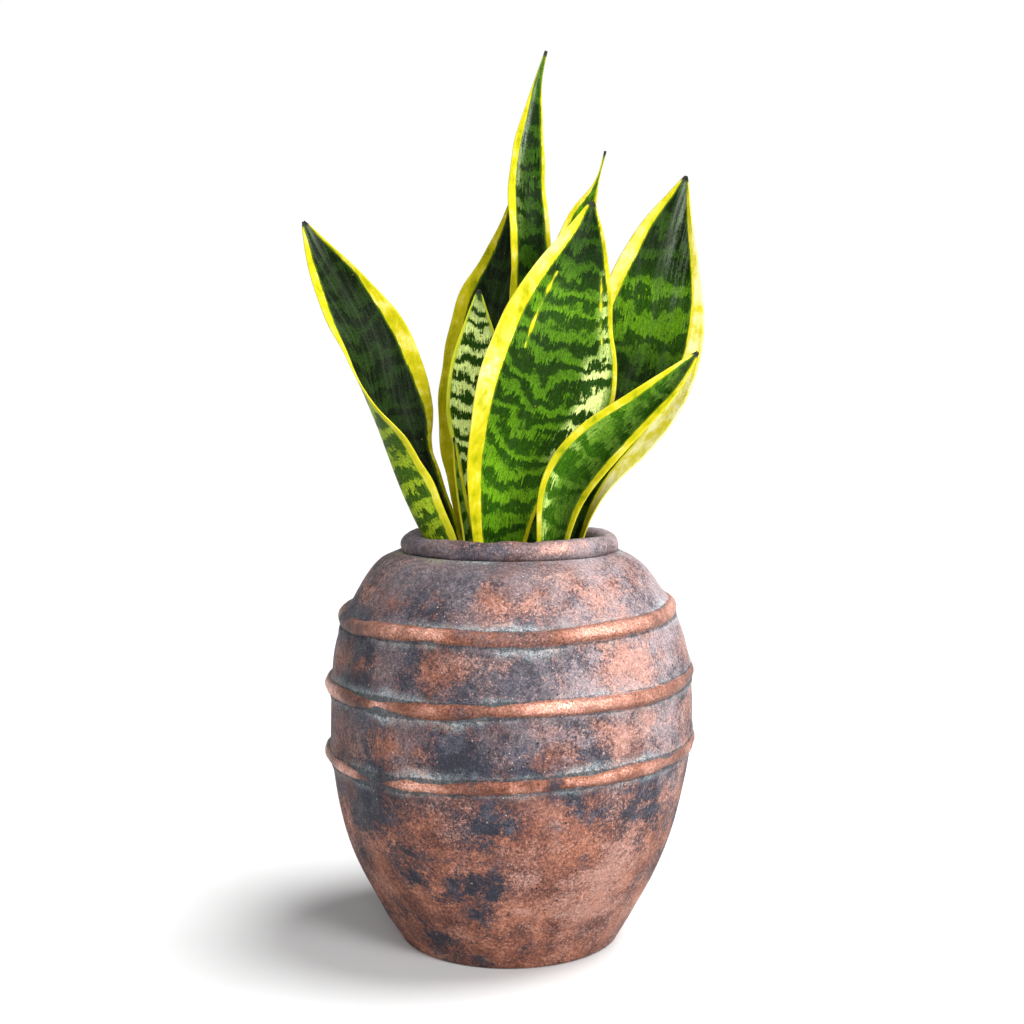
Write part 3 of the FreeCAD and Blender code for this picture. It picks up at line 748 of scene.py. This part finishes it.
# ---------------------------------------------------------------------- leaves
# mm: thickness at the base, its loss to the tip, at the edge; least half width; mesh spacing
LEAF_T_BASE, LEAF_T_LOSS, LEAF_T_EDGE, LEAF_LEAST_W = 5.2, 3.4, 1.0, 0.6
ROW_STEP, COLUMN_STEP = 1.3, 0.75


def bell(value, middle, width, power=2):
    """1 at the middle, falling away smoothly on both sides."""
    return np.exp(-((value - middle) / width) ** power)


def climb(value, start, span):
    """0 before start, 1 a span further on; a negative span climbs the other way."""
    return np.clip((value - start) / span, 0, 1)


def leaf_surface(name, seed):
    """Rings of points round the leaf's section, base to tip, and where each lies on the leaf."""
    rows = np.array(LEAVES[name], float)
    ts = chord(rows[:, :3])
    length = ts[-1]
    n = max(int(length / ROW_STEP), 60)
    t = np.linspace(0, length, n)
    val, der = spline(ts, rows)(t)
    u = t / length
    centre, w = val[:, :3], np.maximum(val[:, 3], LEAF_LEAST_W)
    turn, cup = np.radians(val[:, 4]), val[:, 5]
    along = der[:, :3] / np.linalg.norm(der[:, :3], axis=1)[:, None]
    facing = np.stack([np.sin(turn), -np.cos(turn), 0 * turn], 1)
    across = np.cross(along, facing)
    across /= np.linalg.norm(across, axis=1)[:, None]
    rise = np.cross(across, along)
    # the section is a parabola; the back is offset from the front by the thickness
    t_mid = np.minimum(LEAF_T_BASE - LEAF_T_LOSS * u, 0.6 * w + 0.3)
    t_edge = np.minimum(LEAF_T_EDGE, 0.6 * t_mid)
    q = np.sqrt(1 + 4 * cup ** 2)
    back_x, back_n = w + t_edge * 2 * cup / q, cup * w - t_edge / q
    columns = int(np.clip(w.max() / COLUMN_STEP, 15, 61)) | 1
    s = np.linspace(-1, 1, columns)
    # gentle ripple of the margins, a soft channel along the middle, fine ribs
    ends = np.clip(np.minimum(u / 0.3, (1 - u) / 0.06), 0, 1)[:, None]
    ripple = np.clip(w / 12, 0, 1)[:, None] * np.abs(s)[None] ** 3 * (
        0.55 * waves(t[:, None] / 17.0 + 3 * np.sign(s)[None], 0 * s[None], seed, 6, 1, 3, 0))
    ripple = ripple * ends
    inn_x = s[None] * w[:, None]
    channel = -0.35 * np.exp(-(inn_x / 2.6) ** 2) * ends
    ribs = 0.06 * np.cos(inn_x * 2.1 + 0.4 * np.sin(t[:, None] / 30)) * ends
    inn_n = (cup * w)[:, None] * s[None] ** 2 + ripple + channel + ribs
    out_x = s[None] * back_x[:, None]
    out_n = -t_mid[:, None] + (back_n + t_mid)[:, None] * s[None] ** 2 + ripple + ribs
    # rounded margins: one point half way round each edge
    mid_x = (inn_x[:, [-1, 0]] + out_x[:, [-1, 0]]) / 2 + np.array([1, -1]) * t_edge[:, None] * 0.35
    mid_n = (inn_n[:, [-1, 0]] + out_n[:, [-1, 0]]) / 2
    xs = np.concatenate([inn_x, mid_x[:, :1], out_x[:, ::-1], mid_x[:, 1:]], 1)
    ns = np.concatenate([inn_n, mid_n[:, :1], out_n[:, ::-1], mid_n[:, 1:]], 1)
    ss = np.concatenate([s, [1.0], s[::-1], [-1.0]])
    back = np.concatenate([0 * s, [0.5], 0 * s + 1, [0.5]])
    k = len(ss)
    verts = centre[:, None] + xs[..., None] * across[:, None] + ns[..., None] * rise[:, None]
    caps = [list(range(k))[::-1], [(n - 1) * k + j for j in range(k)]]
    place = SimpleNamespace(s=ss[None], w=w[:, None], z=centre[:, 2][:, None], u=u[:, None],
                            cup=cup[:, None], along=np.repeat(t[:, None], k, 1), length=length,
                            back=np.repeat(back[None], n, 0))
    return verts.reshape(-1, 3), list(grid_faces(n, k)) + caps, place


def mark_front_broad(at, look):
    """Pale broken patch on the right, two thin yellow lines, a left margin that pales to cream,
    painted shade near the base.
    """
    patch = bell(at.s, 0.70, 0.17, 4) * bell(at.z, 366, 27, 4)
    edge = 0.55 * bell(at.s, 0.86, 0.10) * bell(at.z, 418, 34, 4)
    look.pale = np.clip(1.1 * patch + edge, 0, 1) * (1 - at.back)
    # each line: s and z at its ends, half width in mm
    for s_low, s_high, z_low, z_high, width in ((-0.43, -0.40, 394, 444, 1.15),
                                                (0.80, 0.76, 404, 452, 0.8)):
        part = climb(at.z, z_low, z_high - z_low)
        away = np.abs(at.s - (s_low + (s_high - s_low) * part)) * at.w
        half = width * np.where((at.z > z_low) & (at.z < z_high),
                                np.sin(np.pi * np.clip(part, 0.02, 0.98)) ** 0.5, -9)
        half = half * (0.78 + 0.50 * np.sin(at.z / 2.6 + 2.0 * np.sin(at.z / 7.0)))
        look.inside = np.where(at.back < 0.4, np.minimum(look.inside, away - half), look.inside)
    look.bright = look.bright + 0.45 * bell(at.z, 300, 40) + 0.2 * bell(at.z, 425, 14)
    # darker above 436 mm; the last factor is painted shade, darkening the blade towards its base
    look.bright = (look.bright * (1 - 0.85 * climb(at.z, 436, 24))
                   * np.clip((at.z - 256) / 44, 0.12, 1))
    look.contrast = look.contrast * (1 - 0.45 * climb(at.z, 436, 24))
    cream = 0.40 * bell(at.z, 375, 24) + 0.35 * bell(at.z, 455, 20)
    look.dark = np.where(look.inside < 0.5, -cream * (at.s < 0), look.dark)


def mark_left(at, look):
    """The back of this leaf faces the front: mottled light green, darkened towards the base as
    painted shade.
    """
    # painted shade: darker towards the base of the blade
    look.bright = (look.bright + 0.5 * at.back) * np.clip((at.z - 250) / 50, 0.2, 1)
    look.contrast = np.where(at.back > 0.4, 0.8, look.contrast)


def mark_tall(at, look):
    """A pale stroke near the top, a bright tip, a painted silvery sheen below it."""
    look.pale = look.pale + 0.28 * bell(at.s, -0.42, 0.22) * bell(at.z, 515, 30)
    look.bright = look.bright + 0.5 * climb(at.z, 560, 15)
    # painted sheen: a whitish highlight down the upper left of the blade
    sheen = 1.6 * bell(at.z, 540, 34, 4) * bell(at.s, -0.30, 0.28) * (1 - at.back)
    look.streak = look.streak + sheen


def mark_right_broad(at, look):
    """A lighter banded zone, a painted silvery sheen above it, cream along both margins, the right
    one paler low down as painted light where it lies in shade.
    """
    zone = bell(at.z, 424, 30, 4) * (1 - at.back)
    look.dark = look.dark * (1 - zone)
    look.bright = look.bright + 0.30 * zone
    look.contrast = look.contrast + 0.45 * zone
    # painted sheen: a whitish highlight on the upper blade
    sheen = 0.95 * bell(at.z, 465, 42) * bell(at.s, 0.40, 0.40) * (1 - at.back)
    look.streak = look.streak + sheen
    # painted light: the right margin goes fully cream low down, where the leaf in front shades it
    cream = np.where(at.s > 0, 0.85 + 0.15 * climb(at.z, 400, -40), 0.35)
    cream = cream * climb(at.z, 290, 30) * climb(at.z, 505, -60)
    look.dark = np.where(look.inside < 0.5, -cream, look.dark)


def mark_front_right(at, look):
    """Brighter along the upper margin, deep green to the lower one and the tip, paler low down."""
    glow = np.clip(0.62 - 0.60 * at.s - 0.9 * np.clip(at.u - 0.50, 0, 1), 0.05, 1)
    look.bright = look.bright * glow * (1 - 0.3 * at.back)
    side = bell(at.s, -0.58, 0.22) * climb(at.z, 352, -40) * (1 - at.back)
    look.pale = look.pale + 0.45 * side
    look.contrast = look.contrast + 0.55 * side


MARKS = {"leaf_front_broad": mark_front_broad, "leaf_left": mark_left, "leaf_tall": mark_tall,
         "leaf_right_broad": mark_right_broad, "leaf_front_right": mark_front_right}


def leaf_paint(name, seed, at):
    """What leaf_material reads at each point: bands, margins, streaks and the leaf's own marks."""
    pitch, chevron, contrast, bright, dark, pale = LOOKS[name]
    size = at.back.shape
    margin_z, left, right = np.array(MARGINS[name], float).T
    stretch = np.sqrt(1 + 1.3 * at.cup ** 2)  # a cupped blade is wider along its surface
    look = SimpleNamespace(
        inside=np.minimum((at.s + 1) * at.w * stretch - np.interp(at.z, margin_z, left),
                          (1 - at.s) * at.w * stretch - np.interp(at.z, margin_z, right)),
        pale=np.full(size, pale, float),
        dark=np.full(size, dark, float) * (1 - at.back),
        contrast=np.full(size, contrast, float),
        bright=np.full(size, bright, float),
        streak=np.full(size, 0.12 + 0.36 * max(dark, 0), float) * (1 - 0.6 * at.back))
    top = climb(at.u, 0.86, 0.12)
    look.streak = look.streak + top * 0.5
    look.contrast = look.contrast * (1 - 0.55 * top)
    if name in MARKS:
        MARKS[name](at, look)
    across = at.s * at.w
    turns = at.along / pitch - chevron * np.abs(across) / pitch
    rows = {"leaf_place": (across + 120 * at.back, at.along, np.full(size, seed * 3.7)),
            "leaf_band": (turns, look.contrast, look.bright),
            "leaf_margin": (look.inside, look.pale, look.dark),
            "leaf_end": (at.length - at.along, at.back, look.streak)}
    return {key: np.stack(columns, -1).reshape(-1, 3) for key, columns in rows.items()}


def make_leaf(name, seed, mat):
    verts, faces, place = leaf_surface(name, seed)
    o = add_mesh(name + "_blade", verts, faces, leaf_paint(name, seed, place))
    o.data.materials.append(mat)
    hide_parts(name)
    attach(o, PLANTING)


# ---------------------------------------------------------------- potting mix
BARK = (0.020, 0.011, 0.006), (0.150, 0.080, 0.040)
PERLITE = (0.50, 0.49, 0.45), (0.86, 0.85, 0.80)
CUBE = np.array([(a, b, c) for a in (-1, 1) for b in (-1, 1) for c in (-1, 1)], float)
CUBE_FACES = np.array([(0, 1, 3, 2), (4, 6, 7, 5), (0, 4, 5, 1), (2, 3, 7, 6), (0, 2, 6, 4),
                       (1, 5, 7, 3)])


def tumble(yaw, roll, pitch):
    """Rotation matrix of a chip: mostly yaw, a little roll and pitch."""
    rz = np.array([(math.cos(yaw), -math.sin(yaw), 0), (math.sin(yaw), math.cos(yaw), 0),
                   (0, 0, 1)])
    rx = np.array([(1, 0, 0), (0, math.cos(roll), -math.sin(roll)),
                   (0, math.sin(roll), math.cos(roll))])
    ry = np.array([(math.cos(pitch), 0, math.sin(pitch)), (0, 1, 0),
                   (-math.sin(pitch), 0, math.cos(pitch))])
    return rz @ rx @ ry


def make_mix():
    """Crumbly surface inside the pot, with bark chips and white perlite."""
    r_top = (POT_FOOT_R - POT_WALL + (POT_TOP_R - POT_FOOT_R) * (MIX_TOP - POT_FLOOR_Z)
             / (LEDGE_Z - POT_FLOOR_Z))
    seg, rings = 240, 60
    th = np.arange(seg) * 2 * math.pi / seg
    rad = np.linspace(0.01, r_top - 0.15, rings)
    tg, rg = np.meshgrid(th, rad)
    x, y = rg * np.cos(tg), rg * np.sin(tg)
    rng = np.random.default_rng(8)
    h = np.zeros_like(x)
    for scale, amp, terms in ((0.12, 0.9, 24), (0.45, 0.65, 60), (1.1, 0.35, 80)):
        for _ in range(terms):
            a, f = rng.uniform(0, 2 * math.pi), scale * rng.uniform(0.6, 1.4)
            h += amp * math.sqrt(2 / terms) * np.cos(f * (x * math.cos(a) + y * math.sin(a)) +
                                                     rng.uniform(0, 6.28))
    top = np.stack([x, y, MIX_TOP - 0.8 + np.clip(h, -2.4, 2.0)], -1)
    foot_z = 159.9  # a hair above the pot's floor
    side = [(r_top - 0.15, MIX_TOP - 6), (49.0, 200.0), (POT_FOOT_R - POT_WALL - 0.15, foot_z),
            (20.0, foot_z), (0.01, foot_z)]
    low = np.array([np.stack([r * np.cos(th), r * np.sin(th), np.full(seg, z)], -1)
                    for r, z in side])
    verts = np.concatenate([top, low])
    o = add_mesh("mix_bed", verts.reshape(-1, 3), grid_faces(len(verts), seg)[:, ::-1])
    o.data.materials.append(mix_material())
    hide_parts("potting_mix")
    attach(o, PLANTING)
    bark = chip_material("bark_chips", *BARK, 0.85)
    white = chip_material("perlite", *PERLITE, 0.9)
    # chips: name, count, half size in mm, flatness, material, seed
    for label, count, size, flat, mat, seed in (("bark_bits", 520, 3.0, 0.42, bark, 21),
                                                ("perlite_bits", 90, 1.25, 0.85, white, 22)):
        rng = np.random.default_rng(seed)
        vs, fs = [], []
        for _ in range(count):
            r, a = (r_top - 4.0) * math.sqrt(rng.uniform()), rng.uniform(0, 2 * math.pi)
            dims = size * np.array([rng.uniform(0.5, 1.5), rng.uniform(0.4, 0.9),
                                    flat * rng.uniform(0.4, 1.0)])
            chip = CUBE * dims * (1 + rng.uniform(-0.28, 0.28, (8, 3)))
            lie = tumble(rng.uniform(0, 6.28), rng.normal(0, 0.35), rng.normal(0, 0.35))
            pos = np.array([r * math.cos(a), r * math.sin(a), MIX_TOP + rng.uniform(-0.6, 1.1)])
            fs.append(CUBE_FACES + 8 * len(vs))
            vs.append(chip @ lie.T + pos)
        o = add_mesh(label, np.concatenate(vs), np.concatenate(fs), smooth=False)
        bev = o.modifiers.new("soften", "BEVEL")
        bev.width, bev.segments = 0.35 * MM, 2
        o.data.materials.append(mat)
        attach(o, PLANTING)


make_jar()
make_rim()
make_coils()
leaf_mat = leaf_material()
for i, leaf_name in enumerate(LEAVES):
    make_leaf(leaf_name, 11 + 7 * i, leaf_mat)
make_mix()
for node_name, made in (("nursery_pot", plastic_material()), ("rhizome", root_material())):
    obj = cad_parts[node_name]
    obj.data.materials.clear()
    obj.data.materials.append(made)

# ----------------------------------------------------------- floor, light, view
FLOOR_HALF = 9000  # mm
FLOOR_GREY = (0.50, 0.50, 0.50)
GLOW_FROM, GLOW_TO, WALL_GLOW, CEILING_GLOW = 0.30, 0.60, 1.02, 0.16
# lamps: name, kind, place, aim, watts (a sun's strength), its own settings
LAMPS = [("key", "SUN", (1.0, 0.08, 2.05), (0, 0, 0), 6.4, {"angle": math.radians(38)}),
         ("front", "AREA", (1.15, -1.5, 0.85), (0, 0, 0.22), 56.0,
          {"shape": "RECTANGLE", "size": 0.7, "size_y": 0.9}),
         ("strip", "AREA", (-0.30, -1.75, 1.15), (0, 0, 0.2), 15.0,
          {"shape": "RECTANGLE", "size": 1.0, "size_y": 0.16})]
CAMERA_AT, CAMERA_DIP, LENS, SENSOR = (0.0017, -0.974, 0.3666), 4.570, 50.7, 36.0

floor = add_mesh("floor", [(x * FLOOR_HALF, y * FLOOR_HALF, 0)
                           for x, y in ((-1, -1), (1, -1), (1, 1), (-1, 1))],
                 [(0, 1, 2, 3)], smooth=False)
floor.data.materials.append(Nodes("floor_white").finish(
    Base_Color=FLOOR_GREY, Roughness=0.9, Specular_IOR_Level=0.1))

# white studio walls all round, a dimmer ceiling
world = bpy.data.worlds.new("studio")
world.use_nodes = True
tree = world.node_tree
way = tree.nodes.new("ShaderNodeTexCoord")
parts = tree.nodes.new("ShaderNodeSeparateXYZ")
tree.links.new(way.outputs["Generated"], parts.inputs[0])
fall = tree.nodes.new("ShaderNodeMapRange")
fall.interpolation_type = "SMOOTHSTEP"
for socket, value in zip(fall.inputs[1:], (GLOW_FROM, GLOW_TO, WALL_GLOW, CEILING_GLOW)):
    socket.default_value = value
tree.links.new(parts.outputs[2], fall.inputs[0])
tree.nodes["Background"].inputs[0].default_value = (1.0, 1.0, 1.0, 1.0)
tree.links.new(fall.outputs[0], tree.nodes["Background"].inputs[1])
bpy.context.scene.world = world


for lamp_name, kind, at, aim, power, settings in LAMPS:
    light = bpy.data.lights.new(lamp_name, kind)
    light.energy = power
    for key, value in settings.items():
        setattr(light, key, value)
    lamp = bpy.data.objects.new(lamp_name, light)
    bpy.context.scene.collection.objects.link(lamp)
    lamp.location = at
    lamp.rotation_euler = (Vector(aim) - Vector(at)).to_track_quat("-Z", "Y").to_euler()

cam = bpy.data.cameras.new("camera")
cam.lens, cam.sensor_width = LENS, SENSOR
cam_o = bpy.data.objects.new("camera", cam)
cam_o.location = CAMERA_AT
cam_o.rotation_euler = (math.radians(90 - CAMERA_DIP), 0.0, 0.0)
bpy.context.scene.collection.objects.link(cam_o)
bpy.context.scene.camera = cam_o
bpy.context.scene.view_settings.view_transform = "Standard"
